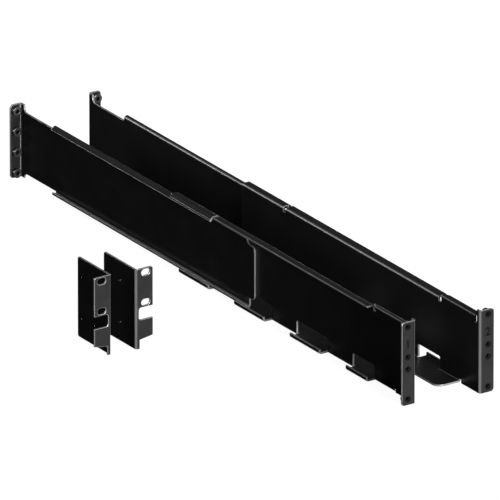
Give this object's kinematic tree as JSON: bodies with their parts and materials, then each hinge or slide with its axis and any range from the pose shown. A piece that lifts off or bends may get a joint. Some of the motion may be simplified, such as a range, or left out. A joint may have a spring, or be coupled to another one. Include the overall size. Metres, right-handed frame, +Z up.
{
  "type": "server rack rail kit",
  "caption": "Telescoping server rack rails with inward support ledges, flanged ends with clinch nuts, and loose L-shaped rack ears.",
  "frame": {"origin": "centre of the kit's footprint, on the level it stands on, with the rails extended as in the picture", "axes": "+Y along the rails from the front flanges to the rear ones, +Z up, +X from the loose ears to the rails"},
  "size_m": [0.281, 0.7186, 0.088],
  "materials": {
    "coated_steel": "black powder coat, fine texture, semi-matt",
    "nut_steel": "black zinc plate, satin"
  },
  "bodies": {
    "fixed_pieces": {"left_front_rail": "coated_steel", "right_front_rail": "coated_steel", "rack_ear_one": "coated_steel", "rack_ear_two": "coated_steel", "left_front_nut_1": "nut_steel", "left_front_nut_2": "nut_steel", "left_front_nut_3": "nut_steel", "left_front_nut_4": "nut_steel", "right_front_nut_1": "nut_steel", "right_front_nut_2": "nut_steel", "right_front_nut_3": "nut_steel", "right_front_nut_4": "nut_steel"},
    "left_rear_section": {"left_rear_rail": "coated_steel", "left_rear_nut_1": "nut_steel", "left_rear_nut_2": "nut_steel", "left_rear_nut_3": "nut_steel", "left_rear_nut_4": "nut_steel"},
    "right_rear_section": {"right_rear_rail": "coated_steel", "right_rear_nut_1": "nut_steel", "right_rear_nut_2": "nut_steel", "right_rear_nut_3": "nut_steel", "right_rear_nut_4": "nut_steel"}
  },
  "joints": [
    {"name": "left_rail_slide", "type": "slide", "parent": "fixed_pieces", "child": "left_rear_section", "axis": [0, 1, 0], "range_m": [-0.2, 0.04]},
    {"name": "right_rail_slide", "type": "slide", "parent": "fixed_pieces", "child": "right_rear_section", "axis": [0, 1, 0], "range_m": [-0.2, 0.04]}
  ]
}
